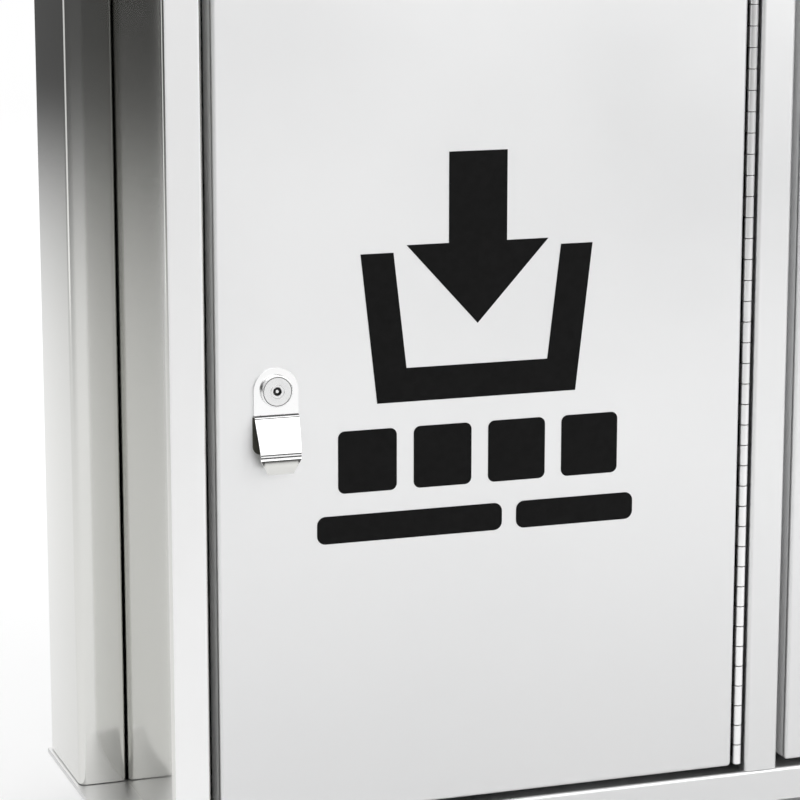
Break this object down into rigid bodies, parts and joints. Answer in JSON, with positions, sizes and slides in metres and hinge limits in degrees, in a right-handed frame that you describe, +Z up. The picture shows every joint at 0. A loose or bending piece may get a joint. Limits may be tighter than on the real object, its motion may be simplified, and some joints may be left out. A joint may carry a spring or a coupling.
{
  "type": "recycling bin station",
  "caption": "Free-standing litter sorting station in folded stainless steel, with hinged lockable doors, lift-out liners, deposit ports, side posts and a rain canopy.",
  "frame": {"origin": "on the ground, under the middle of the rain canopy and of the cabinet", "axes": "+Z up, the doors face -Y, +X to the right seen from the front"},
  "size_m": [0.828, 0.36, 0.985],
  "materials": {
    "satin_stainless": "satin, fine grain",
    "mirror_stainless": "bright, nearly mirror",
    "chrome_plate": "polished",
    "zinc_steel": "zinc plated",
    "galvanised_steel": "hot-dip galvanised, spangled",
    "rubber": "matt",
    "black_plastic": "moulded"
  },
  "bodies": {
    "cabinet": {"base_tray": "satin_stainless", "front_base_rail": "zinc_steel", "back_base_rail": "zinc_steel", "left_base_rail": "zinc_steel", "right_base_rail": "zinc_steel", "foot_pads": "rubber", "foot_studs": "zinc_steel", "foot_nuts": "zinc_steel", "anchor_tabs": "zinc_steel", "back_panel": "satin_stainless", "divider": "satin_stainless", "mullion": "satin_stainless", "fascia": "satin_stainless", "cabinet_lid": "satin_stainless", "canopy": "satin_stainless", "canopy_soffit": "satin_stainless", "canopy_clips": "zinc_steel", "post_bolts": "zinc_steel", "left_side_panel": "mirror_stainless", "right_side_panel": "mirror_stainless", "left_port_bezel": "satin_stainless", "right_port_bezel": "satin_stainless", "left_post": "mirror_stainless", "right_post": "mirror_stainless", "foot_angles": "mirror_stainless", "left_frame_hinge_leaf": "satin_stainless", "right_frame_hinge_leaf": "satin_stainless", "frame_rivets": "satin_stainless", "hinge_pins": "satin_stainless", "door_stops": "satin_stainless", "door_bumpers": "rubber", "liner_stops": "satin_stainless"},
    "left_door": {"left_door_skin": "satin_stainless", "left_door_stiffener": "zinc_steel", "left_door_hinge_leaf": "satin_stainless", "left_door_rivets": "satin_stainless", "left_lock_body": "chrome_plate", "left_lock_nut": "zinc_steel", "left_finger_pull": "chrome_plate"},
    "left_lock": {"left_lock_core": "chrome_plate", "left_lock_cam": "zinc_steel", "left_lock_cam_screw": "zinc_steel"},
    "left_liner": {"left_liner": "galvanised_steel", "left_liner_pivots": "galvanised_steel"},
    "left_bail": {"left_bail": "galvanised_steel", "left_bail_grip": "black_plastic"},
    "right_door": {"right_door_skin": "satin_stainless", "right_door_stiffener": "zinc_steel", "right_door_hinge_leaf": "satin_stainless", "right_door_rivets": "satin_stainless", "right_lock_body": "chrome_plate", "right_lock_nut": "zinc_steel", "right_finger_pull": "chrome_plate"},
    "right_lock": {"right_lock_core": "chrome_plate", "right_lock_cam": "zinc_steel", "right_lock_cam_screw": "zinc_steel"},
    "right_liner": {"right_liner": "galvanised_steel", "right_liner_pivots": "galvanised_steel"},
    "right_bail": {"right_bail": "galvanised_steel", "right_bail_grip": "black_plastic"}
  },
  "joints": [
    {"name": "left_door_hinge", "type": "hinge", "parent": "cabinet", "child": "left_door", "pos_m": [-0.01575, -0.147, 0.3655], "axis": [0, 0, 1], "range_deg": [0, 105]},
    {"name": "left_lock_turn", "type": "hinge", "parent": "left_door", "child": "left_lock", "pos_m": [-0.314, -0.13, 0.3435], "axis": [0, 1, 0], "range_deg": [0, 90]},
    {"name": "left_liner_lift", "type": "slide", "parent": "cabinet", "child": "left_liner", "axis": [0, 0, 1], "range_m": [0, 0.04]},
    {"name": "left_bail_swing", "type": "hinge", "parent": "left_liner", "child": "left_bail", "pos_m": [-0.183, 0.015, 0.551], "axis": [-1, 0, 0], "range_deg": [0, 116]},
    {"name": "right_door_hinge", "type": "hinge", "parent": "cabinet", "child": "right_door", "pos_m": [0.35025, -0.147, 0.3655], "axis": [0, 0, 1], "range_deg": [0, 105]},
    {"name": "right_lock_turn", "type": "hinge", "parent": "right_door", "child": "right_lock", "pos_m": [0.052, -0.13, 0.3435], "axis": [0, 1, 0], "range_deg": [0, 90]},
    {"name": "right_liner_lift", "type": "slide", "parent": "cabinet", "child": "right_liner", "axis": [0, 0, 1], "range_m": [0, 0.04]},
    {"name": "right_bail_swing", "type": "hinge", "parent": "right_liner", "child": "right_bail", "pos_m": [0.183, 0.015, 0.551], "axis": [-1, 0, 0], "range_deg": [0, 116]}
  ]
}
